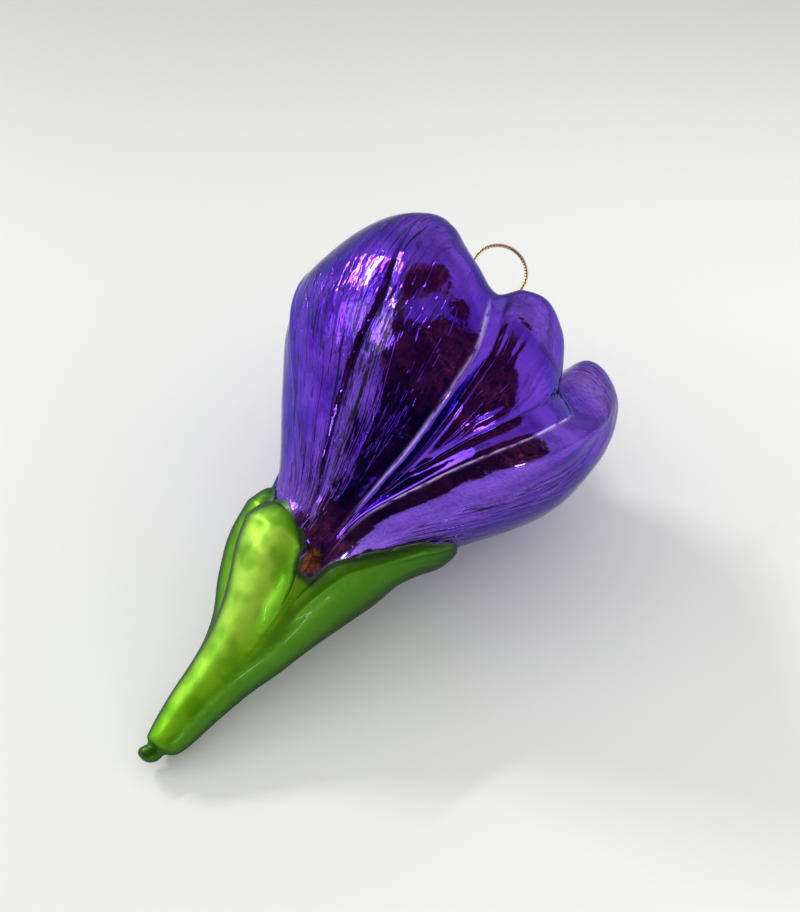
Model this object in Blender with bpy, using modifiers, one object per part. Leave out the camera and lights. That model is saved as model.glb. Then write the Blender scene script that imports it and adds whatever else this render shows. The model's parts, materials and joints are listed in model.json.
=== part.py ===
"""A mould-blown glass Christmas ornament in the shape of a crocus flower.

One hollow glass shell holds the stem, the four sepals, the six petals and the open
neck in the middle of the bloom. A stamped brass cap sits on the neck, and a spring
wire with a round loop goes through the cap's two holes. The ornament lies on its
side, as it is put down on a table: +X runs from the stem end to the bloom and +Z is
up. The origin is under the middle of the part, on the table.
"""
import math

import bpy
import numpy as np
from mathutils import Matrix, Vector

MM = 0.001
NAME = "crocus_ornament"

# Sizes in millimetres, angles in degrees. The flower is drawn round its own axis:
# height runs along the axis from the stem end, longitude 0 is up, and positive
# longitudes turn towards -Y.
TILT = 17.7                  # the axis rises from the stem end to the bloom
ROLL = 1.6                   # the turn about the axis in which the petals rest
WALL = 1.0                   # the glass
PIP_LEAN = 3.0               # the sealed glass tip stands off the axis
LEAN_LONGITUDE = -70.0       # the side to which the pip, neck and loop lean
NECK_SHIFT = 1.6
NECK_RADIUS = 4.7
NECK_TOP = 100.6

CAP_GAP = 0.3
CAP_WALL = 0.4
CAP_TOP = NECK_TOP + CAP_GAP + CAP_WALL
CAP_HEIGHT = 6.6
CAP_CORNER = 0.6
CAP_FLARE = 1.0
CAP_LOBES = 12
CAP_LOBE_DEPTH = 0.35
HOLE_RADIUS = 0.75
HOLE_SPREAD = 2.2

WIRE_RADIUS = 0.42
LOOP_RADIUS = 5.33           # to the middle of the wire
LOOP_HEIGHT = 107.6          # the loop's centre, along the axis
LOOP_LEAN = 1.6              # the loop's centre, off the middle of the cap
LEG_END = 92.0
LEG_SPREAD = 2.8
LOOP_POINTS = 30

# The flower's outline: radius and height of the stem, of the bloom without its
# petals' relief, of the rolled petal tips, and of the bowl that leads to the neck.
MERIDIAN = [
    (0.0, -5.3), (1.1, -4.9), (1.4, -3.9), (1.7, -2.8), (3.2, -1.7), (4.2, 0.0),
    (4.7, 4.0), (4.9, 8.5), (5.2, 13.0), (5.8, 17.5), (6.5, 22.0), (7.6, 26.5),
    (8.8, 31.0), (9.7, 35.0), (10.4, 39.0), (11.2, 43.0), (12.2, 47.0),
    (13.7, 51.0), (16.1, 55.0), (18.7, 59.0), (21.5, 63.0), (24.3, 67.0), (26.8, 71.0),
    (28.6, 75.0), (29.7, 79.0), (30.3, 83.0), (30.4, 87.0), (29.9, 91.0), (28.9, 95.0),
    (27.4, 98.6), (25.5, 101.6), (23.6, 103.6), (21.6, 104.4), (19.8, 103.4),
    (18.6, 100.8), (17.4, 97.2), (15.4, 93.8), (12.6, 91.4), (9.6, 90.2), (6.9, 90.0),
    (5.3, 91.0), (NECK_RADIUS, 93.0), (NECK_RADIUS, 97.0), (NECK_RADIUS, NECK_TOP),
]
LIP_HEIGHT = 104.4

# Where each petal's two sides run: height along the axis, longitude.
PETAL_SIDES = [
    [(36, -46), (47, -34), (54, -41), (62, -46), (72, -53), (82, -61), (92, -68), (104, -72)],
    [(36, 26), (54, 27), (62, 27.5), (70, 26.5), (78, 25), (86, 23.5), (93, 20.5), (104, 17)],
    [(36, 31), (48, 31), (57, 40), (65, 46.5), (73, 50.5), (83, 57), (93, 65), (104, 70)],
    [(36, 90), (48, 104), (57, 124), (66, 142), (78, 153), (90, 155), (104, 151)],
    [(36, 160), (57, 190), (70, 199), (82, 202), (92, 202), (104, 204)],
    [(36, 242), (57, 254), (70, 260), (82, 261), (92, 260), (104, 257)],
]
# Columns of faces across each petal, outer and inner in turn, from the first side on.
PETAL_COLUMNS = [14, 6, 15, 6, 13, 6]
OUTER_PETALS = (0, 2, 4)
# Swell of each inner petal's middle. The lowest one is pressed in, and the bloom
# rests on both sides of it.
INNER_SWELL = {1: 0.8, 3: -1.3, 5: 0.8}
# How far each side of an outer petal stands over the inner petal beside it.
SIDE_RISE = [1.8, 2.0, 2.8, 1.8, 1.8, 1.8]
# Height of the rolled edge round the bloom: petal count from the first side, height.
EDGE_HEIGHTS = [
    (0.0, 97.5), (0.15, 100.5), (0.38, 104.4), (0.6, 102.8), (0.8, 99.5), (1.0, 97.0),
    (1.15, 100.8), (1.35, 102.6), (1.6, 101.2), (1.85, 96.4), (2.0, 93.5), (2.1, 98.0),
    (2.32, 103.6), (2.5, 104.6), (2.75, 102.4), (3.0, 97.5), (3.5, 101.8), (4.0, 97.0),
    (4.25, 101.6), (4.5, 104.2), (4.75, 101.6), (5.0, 97.0), (5.5, 101.4), (6.0, 97.5),
]
MIDRIB = [(47, -20), (59, -14), (69, -10), (79, -10), (89, -15), (98, -23), (106, -33)]

# Sepals: middle longitude, half width and outward swell along the height, and tip.
SEPAL_TIP_LENGTH = 5.0
SEPALS = [
    dict(middle=[(8, -30), (20, -20), (34, -18), (46, -26)], tip=45.4,
         half=[(8, 48), (20, 50), (34, 46), (46, 36)],
         swell=[(2, 0.2), (14, 0.8), (22, 1.7), (30, 3.8), (38, 5.2), (46, 5.0)]),
    dict(middle=[(8, -104), (20, -98), (34, -92), (49, -86)], tip=48.6,
         half=[(8, 36), (20, 36), (34, 34), (49, 26)],
         swell=[(2, 0.2), (14, 0.8), (22, 2.0), (30, 4.4), (38, 5.4), (46, 4.6)]),
    dict(middle=[(8, 64), (20, 86), (34, 92), (58, 106)], tip=58.8,
         half=[(8, 46), (20, 50), (34, 54), (45, 40), (58, 20)],
         swell=[(2, 0.2), (14, 0.6), (22, 1.5), (34, 2.4), (44, 3.8), (58, 3.6)]),
    dict(middle=[(8, 160), (20, 180), (34, 192), (54, 198)], tip=54.0,
         half=[(8, 44), (20, 44), (34, 44), (54, 24)],
         swell=[(2, 0.2), (14, 0.6), (22, 1.5), (34, 2.8), (44, 3.4), (54, 3.0)]),
]


def smooth_step(start, end, value):
    part = np.clip((value - start) / (end - start), 0.0, 1.0)
    return part * part * (3.0 - 2.0 * part)


def curve_at(points, value):
    """Read a smooth curve that never overshoots the points it goes through."""
    xs = np.array([p[0] for p in points], float)
    ys = np.array([p[1] for p in points], float)
    gaps = np.diff(xs)
    slopes = np.diff(ys) / gaps
    tangents = np.zeros(len(xs))
    for i in range(1, len(xs) - 1):
        before, after = slopes[i - 1], slopes[i]
        if before * after > 0:
            tangents[i] = 2.0 * before * after / (before + after)
    value = np.clip(value, xs[0], xs[-1])
    i = np.clip(np.searchsorted(xs, value, side="right") - 1, 0, len(gaps) - 1)
    part = (value - xs[i]) / gaps[i]
    return (
        (1 + 2 * part) * (1 - part) ** 2 * ys[i]
        + part * (1 - part) ** 2 * gaps[i] * tangents[i]
        + part * part * (3 - 2 * part) * ys[i + 1]
        + part * part * (part - 1) * gaps[i] * tangents[i + 1]
    )


def turned_apart(longitude, middle):
    """Angle from middle to longitude, between -180 and 180 degrees."""
    return (longitude - middle + 180.0) % 360.0 - 180.0


def longitude_at(count, height):
    """Longitude of the column that is count petals on from the first side."""
    sides = [curve_at(side, height) for side in PETAL_SIDES]
    sides.append(sides[0] + 360.0)
    petal = min(int(count), 5)
    part = count - petal
    return sides[petal] * (1.0 - part) + sides[petal + 1] * part


def petal_relief(count, height, radius, longitude):
    """How far the petals' faces stand out from the plain outline."""
    petal = min(int(count), 5)
    part = count - petal
    across = 2.0 * part - 1.0
    grown = smooth_step(42.0, 66.0, height) * smooth_step(18.0, 25.0, radius)
    if petal not in OUTER_PETALS:
        return grown * INNER_SWELL[petal] * (1.0 - across * across)
    width = np.radians(longitude_at(petal + 1, height) - longitude_at(petal, height)) * radius
    to_side = np.minimum(part, 1.0 - part) * width
    rise = np.where(part < 0.5, SIDE_RISE[petal], SIDE_RISE[petal + 1])
    shelf = rise * smooth_step(0.0, 2.4, to_side)
    relief = shelf + 0.5 * (1.0 - across * across)
    if petal == 0:
        off_rib = turned_apart(longitude, curve_at(MIDRIB, height))
        relief = relief - 0.8 * np.exp(-((off_rib / 5.0) ** 2))
    return grown * relief


def sepal_relief(height, longitude):
    """Swell of the four sepals, which end in round tips against the petals."""
    relief = 0.0
    for sepal in SEPALS:
        half = curve_at(sepal["half"], height)
        across = turned_apart(longitude, curve_at(sepal["middle"], height)) / half
        dome = np.sqrt(np.clip(1.0 - across * across, 0.0, 1.0))
        end = np.sqrt(np.clip((sepal["tip"] - height) / SEPAL_TIP_LENGTH, 0.0, 1.0))
        relief = np.maximum(relief, curve_at(sepal["swell"], height) * end * dome)
    return relief


def lift_at(count, height, beyond_lip):
    """How far a point is moved along the axis so that the petals end at their heights."""
    edge = curve_at(EDGE_HEIGHTS, count) - LIP_HEIGHT
    outside = smooth_step(62.0, LIP_HEIGHT, height)
    inside = smooth_step(90.5, LIP_HEIGHT, height)
    return edge * np.where(beyond_lip, inside, outside)


def axis_shift(height, beyond_lip):
    """Sideways offset of the pip and the stem's foot, and of the neck."""
    foot = curve_at([(-5.0, PIP_LEAN), (-2.5, 2.3), (0, 1.7), (7, 1.3), (13, 0.7), (22, 0)], height)
    return np.where(beyond_lip, NECK_SHIFT, foot)


def direction(longitude):
    """Unit vector away from the flower's axis, before the ornament is tilted."""
    turn = np.radians(longitude)
    return np.stack([np.zeros_like(turn), -np.sin(turn), np.cos(turn)], axis=-1)


def column_counts():
    """Columns right round the bloom, closer together where a petal's side stands up."""
    counts = []
    for petal, columns in enumerate(PETAL_COLUMNS):
        if petal in OUTER_PETALS:
            spread = [0.0, 0.04, 0.11] + list(np.linspace(0.2, 0.8, columns - 5)) + [0.89, 0.96]
        else:
            spread = list(np.linspace(0.0, 1.0, columns, endpoint=False))
        counts += [petal + part for part in spread]
    return counts


def flower_surface(counts):
    """Grid of points, columns by rows, from the pip to the top of the neck."""
    outline = np.array(MERIDIAN)
    radius, height = outline[:, 0], outline[:, 1]
    lip = int(np.argmax(height[: -8]))
    beyond_lip = np.arange(len(outline)) > lip
    lean = direction(np.array(LEAN_LONGITUDE))
    grid = []
    for count in counts:
        longitude = longitude_at(count, np.where(beyond_lip, LIP_HEIGHT, height))
        relief = np.where(
            beyond_lip,
            0.0,
            petal_relief(count, height, radius, longitude),
        )
        relief = relief + sepal_relief(height, longitude)
        shift = axis_shift(height, beyond_lip) * np.where(
            beyond_lip, smooth_step(20.0, NECK_RADIUS, radius), 1.0)
        points = direction(longitude) * (radius + relief)[:, None]
        points[:, 0] += height + lift_at(count, height, beyond_lip)
        grid.append(points + lean * shift[:, None])
    return np.array(grid)


# ---- build ----
def clear_scene():
    for thing in list(bpy.data.objects):
        bpy.data.objects.remove(thing, do_unlink=True)


def new_collection(name):
    collection = bpy.data.collections.new(name)
    bpy.context.scene.collection.children.link(collection)
    return collection


def new_material(name, colour, roughness, metallic):
    material = bpy.data.materials.new(name)
    material.use_nodes = True
    shader = material.node_tree.nodes["Principled BSDF"]
    shader.inputs["Base Color"].default_value = (*colour, 1.0)
    shader.inputs["Roughness"].default_value = roughness
    shader.inputs["Metallic"].default_value = metallic
    return material


def add_object(name, data, collection, holder, material):
    piece = bpy.data.objects.new(name, data)
    collection.objects.link(piece)
    piece.parent = holder
    data.materials.append(material)
    return piece


def neck_centre():
    """Sideways place of the neck, the cap and the loop's holes."""
    return Vector(direction(np.array(LEAN_LONGITUDE)) * NECK_SHIFT)


def make_glass_flower(collection, holder):
    """The whole glass as an open skin, given its wall by Solidify."""
    grid = flower_surface(column_counts())
    columns, rows = grid.shape[:2]
    points = [tuple(grid[0, 0] * MM)]
    points += [tuple(point * MM) for column in grid for point in column[1:]]
    faces = []
    for column in range(columns):
        here = 1 + column * (rows - 1)
        beside = 1 + (column + 1) % columns * (rows - 1)
        faces.append((0, beside, here))
        for row in range(rows - 2):
            faces.append((here + row, beside + row, beside + row + 1, here + row + 1))
    mesh = bpy.data.meshes.new("glass_flower")
    mesh.from_pydata(points, [], faces)
    mesh.shade_smooth()
    material = new_material("violet_and_green_glass", (0.19, 0.05, 0.52), 0.12, 0.9)
    flower = add_object("glass_flower", mesh, collection, holder, material)
    wall = flower.modifiers.new("Glass wall", "SOLIDIFY")
    wall.thickness = WALL * MM
    wall.offset = -1.0
    return flower


def cap_profile():
    """Outer side of the cap's half section: radius, and depth below the cap's top."""
    side = NECK_RADIUS + CAP_GAP + CAP_WALL
    corner = [
        (side - CAP_CORNER * (1.0 - math.sin(turn)), CAP_CORNER * (1.0 - math.cos(turn)))
        for turn in np.radians([0, 30, 60, 90])
    ]
    skirt = [
        (side, 0.6 * CAP_HEIGHT),
        (side + 0.3 * CAP_FLARE, 0.8 * CAP_HEIGHT),
        (side + CAP_FLARE, CAP_HEIGHT),
    ]
    return [(0.0, 0.0), (2.6, 0.0)] + corner + skirt


def make_hanger_cap(collection, cutters, holder):
    """A turned cap with a scalloped skirt, and two holes for the wire."""
    mesh = bpy.data.meshes.new("hanger_cap_profile")
    points = [(radius * MM, 0.0, -depth * MM) for radius, depth in cap_profile()]
    mesh.from_pydata(points, [(i, i + 1) for i in range(len(points) - 1)], [])
    turned = bpy.data.objects.new("hanger_cap_profile", mesh)
    collection.objects.link(turned)
    screw = turned.modifiers.new("Turn", "SCREW")
    screw.steps = screw.render_steps = 4 * CAP_LOBES
    screw.use_merge_vertices = True
    screw.merge_threshold = 0.00001
    shape = bpy.data.meshes.new_from_object(
        turned.evaluated_get(bpy.context.evaluated_depsgraph_get()))
    bpy.data.objects.remove(turned, do_unlink=True)
    shape.name = "hanger_cap"
    for vertex in shape.vertices:
        depth = -vertex.co.z / MM
        lobe = math.cos(CAP_LOBES * math.atan2(vertex.co.y, vertex.co.x))
        swing = CAP_LOBE_DEPTH * float(smooth_step(0.62 * CAP_HEIGHT, CAP_HEIGHT, depth))
        vertex.co.z += swing * lobe * MM
    shape.shade_smooth()
    material = new_material("gold_brass_cap", (0.83, 0.62, 0.30), 0.28, 1.0)
    cap = add_object("hanger_cap", shape, collection, holder, material)
    cap.matrix_local = (
        Matrix.Translation((neck_centre() + Vector((CAP_TOP, 0.0, 0.0))) * MM)
        @ Matrix.Rotation(math.radians(90.0), 4, "Y")
    )
    wall = cap.modifiers.new("Sheet", "SOLIDIFY")
    wall.thickness = CAP_WALL * MM
    wall.offset = -1.0
    for side in (-1.0, 1.0):
        bpy.ops.mesh.primitive_cylinder_add(
            vertices=16, radius=HOLE_RADIUS * MM, depth=4.0 * CAP_WALL * MM)
        cutter = bpy.context.object
        cutter.name = "wire_hole_cutter"
        for owner in list(cutter.users_collection):
            owner.objects.unlink(cutter)
        cutters.objects.link(cutter)
        cutter.parent = holder
        place = Vector(wire_point(side * HOLE_SPREAD, CAP_TOP))
        cutter.matrix_local = (
            Matrix.Translation(place * MM) @ Matrix.Rotation(math.radians(90.0), 4, "Y"))
        cutter.hide_render = True
        cutter.display_type = "WIRE"
        hole = cap.modifiers.new("Wire hole", "BOOLEAN")
        hole.object = cutter
    return cap


def wire_point(aside, height):
    """A point of the loop's own plane, which leans a little above the cap."""
    above = height - CAP_TOP
    lean = math.atan2(LOOP_LEAN, LOOP_HEIGHT - CAP_TOP) * float(smooth_step(0.3, 1.6, above))
    along = CAP_TOP + above * math.cos(lean) - aside * math.sin(lean)
    across = above * math.sin(lean) + aside * math.cos(lean)
    return neck_centre() + Vector(direction(np.array(LEAN_LONGITUDE)) * across) + Vector(
        (along, 0.0, 0.0))


def wire_route():
    """Points of the hanger: up one leg, round the loop, and down the other leg."""
    leg = [
        (LEG_SPREAD, LEG_END), (LEG_SPREAD, 94.0), (LEG_SPREAD - 0.1, 96.0),
        (HOLE_SPREAD + 0.1, 98.5), (HOLE_SPREAD, 100.6), (HOLE_SPREAD, CAP_TOP + 0.3),
    ]
    reach = math.hypot(LOOP_LEAN, LOOP_HEIGHT - CAP_TOP)
    start = math.asin(HOLE_SPREAD / LOOP_RADIUS)
    turns = np.linspace(start, 2.0 * math.pi - start, LOOP_POINTS)
    loop = [
        (-LOOP_RADIUS * math.sin(turn), CAP_TOP + reach - LOOP_RADIUS * math.cos(turn))
        for turn in turns
    ]
    route = [(-aside, height) for aside, height in leg] + loop + leg[::-1]
    return [wire_point(aside, height) for aside, height in route]


def make_hanger_wire(collection, holder):
    """The spring wire: a round loop over the cap, and two legs inside the neck."""
    route = wire_route()
    curve = bpy.data.curves.new("hanger_wire", "CURVE")
    curve.dimensions = "3D"
    curve.bevel_depth = WIRE_RADIUS * MM
    curve.bevel_resolution = 2
    curve.use_fill_caps = True
    spline = curve.splines.new("POLY")
    spline.points.add(len(route) - 1)
    for knot, point in zip(spline.points, route):
        knot.co = (*(point * MM), 1.0)
    material = new_material("gold_wire", (0.80, 0.64, 0.36), 0.25, 1.0)
    return add_object("hanger_wire", curve, collection, holder, material)


def set_on_table(holder, pieces):
    """Lay the ornament down, and bring the middle of its underside to the origin."""
    holder.rotation_euler = (math.radians(ROLL), -math.radians(TILT), 0.0)
    bpy.context.view_layer.update()
    graph = bpy.context.evaluated_depsgraph_get()
    corners = []
    for piece in pieces:
        mesh = piece.evaluated_get(graph).to_mesh()
        corners += [piece.matrix_world @ vertex.co for vertex in mesh.vertices]
        piece.evaluated_get(graph).to_mesh_clear()
    low = [min(corner[axis] for corner in corners) for axis in range(3)]
    high = [max(corner[axis] for corner in corners) for axis in range(3)]
    holder.location = (-(low[0] + high[0]) / 2.0, -(low[1] + high[1]) / 2.0, -low[2])


def main():
    clear_scene()
    collection = new_collection(NAME)
    cutters = new_collection("cutters")
    holder = bpy.data.objects.new("flower_axis", None)
    collection.objects.link(holder)
    pieces = [
        make_glass_flower(collection, holder),
        make_hanger_cap(collection, cutters, holder),
        make_hanger_wire(collection, holder),
    ]
    set_on_table(holder, pieces)


main()
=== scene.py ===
"""Looks of a blown glass crocus ornament that lies on a pale table under soft light."""
import json
import math

import bpy
import numpy as np
from mathutils import Matrix, Vector


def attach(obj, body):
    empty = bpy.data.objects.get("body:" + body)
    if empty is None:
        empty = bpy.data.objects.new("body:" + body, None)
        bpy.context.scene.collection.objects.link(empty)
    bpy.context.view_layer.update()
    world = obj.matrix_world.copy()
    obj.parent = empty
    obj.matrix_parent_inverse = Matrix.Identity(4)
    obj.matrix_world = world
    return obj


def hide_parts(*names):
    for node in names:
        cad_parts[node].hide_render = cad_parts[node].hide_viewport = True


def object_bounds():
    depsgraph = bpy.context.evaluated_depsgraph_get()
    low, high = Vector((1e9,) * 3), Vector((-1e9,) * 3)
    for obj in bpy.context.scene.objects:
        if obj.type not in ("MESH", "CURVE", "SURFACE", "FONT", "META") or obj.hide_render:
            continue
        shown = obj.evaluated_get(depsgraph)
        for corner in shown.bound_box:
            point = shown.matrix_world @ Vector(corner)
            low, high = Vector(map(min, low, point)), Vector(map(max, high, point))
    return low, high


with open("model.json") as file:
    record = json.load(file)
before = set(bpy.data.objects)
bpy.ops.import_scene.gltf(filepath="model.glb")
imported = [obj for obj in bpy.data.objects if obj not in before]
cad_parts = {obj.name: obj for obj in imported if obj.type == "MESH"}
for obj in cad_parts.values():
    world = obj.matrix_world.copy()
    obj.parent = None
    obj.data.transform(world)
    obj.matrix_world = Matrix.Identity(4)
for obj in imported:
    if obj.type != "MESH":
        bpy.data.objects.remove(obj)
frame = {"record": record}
cad_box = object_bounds()

# ---- Glass flower ----
# One hollow shell of mould-blown glass: stem, four sepals, six petals and the neck in
# the bloom. It is silvered inside, dipped in clear violet lacquer, and its stem and
# sepals are brushed with satin green lacquer. It lies on its lowest petals and its stem.
MM = 0.001
# All lengths of the flower's own frame are in millimetres, and its angles in degrees.
TILT = 17.7  # the axis rises from the stem to the bloom
ROLL = 1.6  # the turn about the axis in which the petals come to rest
WALL = 1.0
PIP_LEAN = 3.0
LEAN_LONGITUDE = -70.0  # the side to which the pip, the neck and the loop lean
NECK_SHIFT = 1.6
NECK_RADIUS = 4.7
NECK_TOP = 100.6
LIP_HEIGHT = 104.4
# The cap's top and the loop's centre: the flower is laid so that the loop is at its mount.
CAP_TOP = 101.3
LOOP_HEIGHT = 107.6
LOOP_LEAN = 1.6

# Radius and height of the outline, from the pip over the petal tips to the neck.
MERIDIAN = [
    (0.0, -5.25), (0.9, -5.1), (1.6, -4.6), (1.95, -3.8), (1.9, -3.1), (1.75, -2.6),
    (2.1, -2.05), (2.9, -1.5), (3.6, 0.0), (4.3, 4.0), (4.95, 8.5), (5.6, 13.0),
    (6.4, 17.5), (7.35, 22.0), (8.1, 26.5), (8.9, 31.0), (9.7, 35.0), (10.4, 39.0),
    (11.2, 43.0), (12.2, 47.0), (13.7, 51.0), (16.1, 55.0), (18.7, 59.0), (21.5, 63.0),
    (24.3, 67.0), (26.8, 71.0),
    (28.6, 75.0), (29.7, 79.0), (30.3, 83.0), (30.4, 87.0), (29.9, 91.0), (28.9, 95.0),
    (27.4, 98.6), (25.5, 101.6), (23.6, 103.6), (21.6, 104.4), (19.8, 103.4),
    (18.6, 100.8), (17.4, 97.2), (15.4, 93.8), (12.6, 91.4), (9.6, 90.2), (6.9, 90.0),
    (5.3, 91.0), (NECK_RADIUS, 93.0), (NECK_RADIUS, 97.0), (NECK_RADIUS, NECK_TOP),
]
# Where each petal's left side runs, the large petal first: height along the axis, longitude.
PETAL_SIDES = [
    [(36, -46), (47, -34), (54, -41), (62, -46), (72, -53), (82, -61), (92, -68), (104, -72)],
    [(36, 26), (54, 27), (62, 27.5), (70, 26.5), (78, 25.5), (86, 25), (93, 23), (104, 18)],
    [(36, 31), (48, 31), (57, 39), (65, 45.2), (73, 48.8), (83, 53.8), (91, 58.5), (97, 65),
     (104, 76)],
    [(36, 90), (48, 104), (57, 124), (66, 142), (78, 153), (90, 155), (104, 151)],
    [(36, 160), (57, 190), (70, 199), (82, 202), (92, 202), (104, 204)],
    [(36, 242), (57, 254), (70, 260), (82, 261), (92, 260), (104, 257)],
]
INNER_SWELL = [0.0, 0.3, 0.0, -1.3, 0.0, 0.8]
OUTER_SWELL = 0.5
# Section across each side, from the inner petal (minus) over the rim of the outer one.
PLAIN_SECTION = [
    (-3, 0), (-1, 0), (-0.4, -0.2), (0, -0.3), (0.7, 0.4), (1.5, 1.6), (2.2, 1.9), (3.4, 1.8)]
SIDE_SECTIONS = [
    PLAIN_SECTION,
    [(-4.0, 0), (-3.3, 0.05), (-2.9, 0.3), (-2.55, 0.1), (-2.3, -0.2), (-2.05, 0.0),
     (-0.4, 1.75), (-0.05, 2.0), (0.35, 2.1), (0.8, 1.95), (1.6, 1.85), (3, 1.85)],
    [(-4.4, 0), (-3.2, -0.1), (-2.5, -0.35), (-2.05, 0.0), (-1.6, 0.45), (-0.4, 2.45),
     (-0.1, 2.7), (0.2, 2.75), (0.6, 2.84), (1.4, 3.06), (4.2, 3.8), (5.6, 3.92), (8, 3.6),
     (11, 3.0)],
    PLAIN_SECTION,
    PLAIN_SECTION,
    PLAIN_SECTION,
]
# Height of the rolled edge round the bloom: petals counted from the first side, height.
EDGE_HEIGHTS = [
    (0.0, 97.5), (0.15, 100.3), (0.36, 103.6), (0.5, 104.5), (0.6, 103.6), (0.72, 101.2),
    (0.85, 98.8), (1.0, 96.4), (1.15, 100.1), (1.35, 101.6), (1.6, 99.6), (1.85, 94.0),
    (2.0, 91.0), (2.1, 93.5), (2.22, 98.2), (2.32, 101.6), (2.44, 104.4), (2.55, 105.0),
    (2.75, 103.2), (3.0, 97.5), (3.5, 101.8), (4.0, 97.0), (4.25, 101.6), (4.5, 104.2),
    (4.75, 101.6), (5.0, 97.0), (5.5, 101.4), (6.0, 97.5),
]
# The large petal's midrib: height, longitude.
MIDRIB = [(44, -2), (50, -4.5), (59, -9.5), (69, -10), (79, -10), (89, -15), (98, -23), (106, -33)]
# Sepals: middle longitude, half width and outward swell along the height, tip, raised rim
# on the left side, and how pale the green runs on the raised middle, as thin lacquer and a
# painted sheen.
SEPAL_TIP_LENGTH = 5.0
SEPALS = [
    dict(middle=[(8, -30), (20, -20), (30, -19), (34, -20.5), (39, -26.5), (46, -36)], tip=45.4,
         half=[(8, 48), (20, 50), (30, 46), (34, 43.5), (39, 39), (46, 41)], rim=0.0, thin_and_sheen=1.0,
         swell=[(2, 0.0), (14, 0.15), (22, 0.9), (30, 3.6), (38, 5.2), (46, 5.0)]),
    dict(middle=[(8, -104), (20, -98), (34, -92), (49, -86)], tip=48.6,
         half=[(8, 36), (20, 36), (34, 34), (49, 34)], rim=0.0, thin_and_sheen=0.35,
         swell=[(2, 0.0), (14, 0.15), (22, 1.2), (30, 4.2), (38, 5.4), (46, 4.6)]),
    dict(middle=[(8, 64), (20, 86), (34, 92), (58, 106)], tip=58.8,
         half=[(8, 46), (20, 50), (34, 58), (41, 56), (45, 46), (52, 31), (58, 26)],
         rim=0.4, thin_and_sheen=0.15,
         swell=[(2, 0.0), (14, 0.0), (22, 0.7), (34, 2.4), (44, 3.8), (58, 3.6)]),
    dict(middle=[(8, 160), (20, 180), (34, 192), (54, 198)], tip=54.0,
         half=[(8, 44), (20, 44), (34, 44), (54, 24)], rim=0.0, thin_and_sheen=0.3,
         swell=[(2, 0.0), (14, 0.0), (22, 0.7), (34, 2.8), (44, 3.4), (54, 3.0)]),
]
# Small hand-pressed lumps and hollows: height, longitude, reach and how far each stands out.
PRESSED = [
    (86.0, 0, 4.3, -1.1), (95.0, -2, 3.4, 0.6), (89.5, 13, 2.5, 0.4), (81.0, 8, 3.0, 0.3),
    (32.6, -27, 1.3, -0.22), (32.8, -11, 1.1, -0.2), (29.6, -13, 1.3, -0.22),
    (37.8, -9.5, 1.2, -0.2), (34.4, -3, 1.1, -0.2), (38.8, -25, 1.3, -0.2),
    (35.6, -19, 1.0, 0.12),
    (48.0, 1, 1.5, 0.45), (42.0, 15, 1.1, 0.45), (52.0, 4, 1.2, 0.3),
]
# Leaf-shaped facets on the narrow petal: height, longitude, turn, half length, half width.
FACETS = [(75.9, 40.6, 23, 2.9, 0.75), (63.4, 38.0, 18, 2.0, 0.6)]
# The rim of the wide petal's cupped tip: height, longitude.
TIP_RIM = [(80, 54), (85, 59), (90.8, 70), (96.6, 80), (101.4, 87), (105, 92)]
# The seam below the narrow petal's dome: longitude, height.
SEAM = [(23.7, 92.3), (29.2, 92.7), (35.5, 92.3), (45.4, 91.6), (59.4, 90.8)]


def smooth_step(start, end, value):
    part = np.clip((value - start) / (end - start), 0.0, 1.0)
    return part * part * (3.0 - 2.0 * part)


def curve_at(points, value):
    """Read a smooth curve that never overshoots the points it goes through."""
    xs, ys = np.array(points, float).T
    gaps = np.diff(xs)
    slopes = np.diff(ys) / gaps
    tangents = np.zeros(len(xs))
    turning = slopes[:-1] * slopes[1:] > 0
    tangents[1:-1][turning] = (
        2.0 * slopes[:-1] * slopes[1:] / np.where(turning, slopes[:-1] + slopes[1:], 1.0)
    )[turning]
    value = np.clip(value, xs[0], xs[-1])
    i = np.clip(np.searchsorted(xs, value, side="right") - 1, 0, len(gaps) - 1)
    part = (value - xs[i]) / gaps[i]
    return (
        (1 + 2 * part) * (1 - part) ** 2 * ys[i]
        + part * (1 - part) ** 2 * gaps[i] * tangents[i]
        + part * part * (3 - 2 * part) * ys[i + 1]
        + part * part * (part - 1) * gaps[i] * tangents[i + 1]
    )


def soft_curve_at(points, value, reach):
    """The same curve, averaged over a short reach so that mirrors show no kinks."""
    steps = np.linspace(-1.0, 1.0, 9)
    weights = (1.0 + np.cos(np.pi * steps)) + 0.02
    total = sum(w * curve_at(points, value + reach * s) for w, s in zip(weights, steps))
    return total / weights.sum()


def turned_apart(longitude, middle):
    """Angle from middle to longitude, between -180 and 180 degrees."""
    return (longitude - middle + 180.0) % 360.0 - 180.0


def lattice_noise(across, along, seed, columns=360):
    """Smooth noise between -1 and 1 over a grid that closes after so many columns."""
    table = np.random.default_rng(seed).uniform(-1.0, 1.0, (columns, 256))
    i, j = np.floor(across).astype(int), np.floor(along).astype(int)
    a, b = across - i, along - j
    a, b = a * a * a * (a * (6 * a - 15) + 10), b * b * b * (b * (6 * b - 15) + 10)
    near, far = i % columns, (i + 1) % columns
    low, high = j % 256, (j + 1) % 256
    return (
        (table[near, low] * (1 - a) + table[far, low] * a) * (1 - b)
        + (table[near, high] * (1 - a) + table[far, high] * a) * b
    )


def spaced_along(start, end, spacing, count):
    """Positions from start to end whose gaps follow the wished spacing."""
    fine = np.linspace(start, end, 4001)
    total = np.concatenate([[0.0], np.cumsum(1.0 / spacing(fine))[:-1]])
    return np.interp(np.linspace(0.0, total[-1], count), total, fine)


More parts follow.
